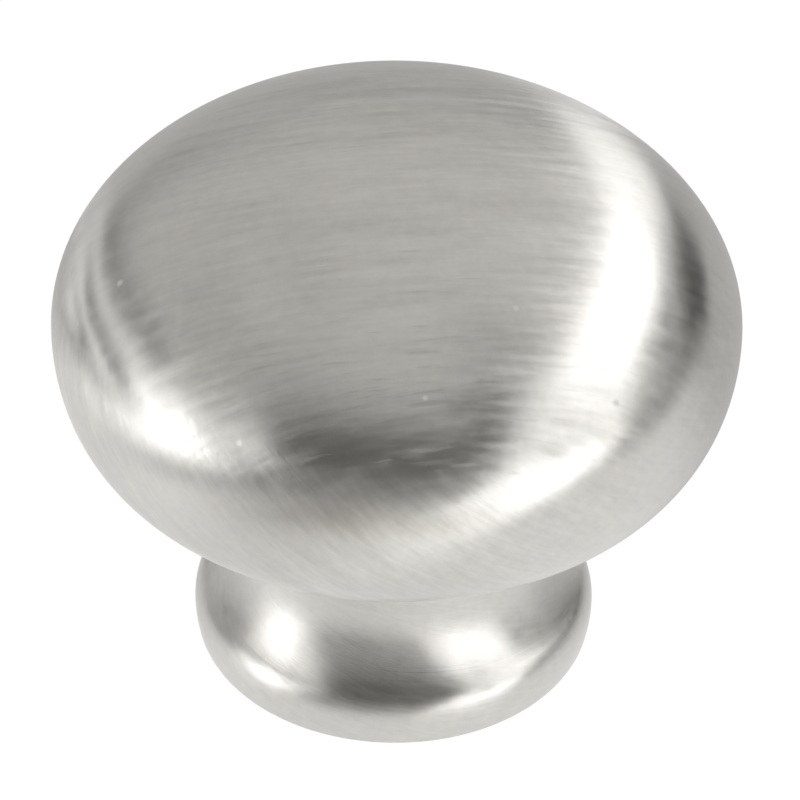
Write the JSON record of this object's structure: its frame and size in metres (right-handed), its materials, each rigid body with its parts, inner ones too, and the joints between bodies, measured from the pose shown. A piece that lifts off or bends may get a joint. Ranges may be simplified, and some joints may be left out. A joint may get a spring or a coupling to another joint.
{
  "type": "cabinet knob",
  "caption": "Round mushroom knob for a cabinet door or drawer: low domed head, waisted neck, flared foot and a blind tapped hole in the back.",
  "frame": {"origin": "centre of the mounting face, on the knob's axis", "axes": "+Z along the knob's axis, out of the door; the foot's bearing rim lies in Z = 0; X and Y are in the mounting face, and the marks on the head run along X"},
  "size_m": [0.0318, 0.0318, 0.0269],
  "materials": {
    "brushed_nickel": "satin nickel plate over brushed zinc alloy, with fine straight marks across the head and slanting ones round its side and foot"
  },
  "bodies": {
    "root": {"knob": "brushed_nickel"}
  },
  "joints": []
}
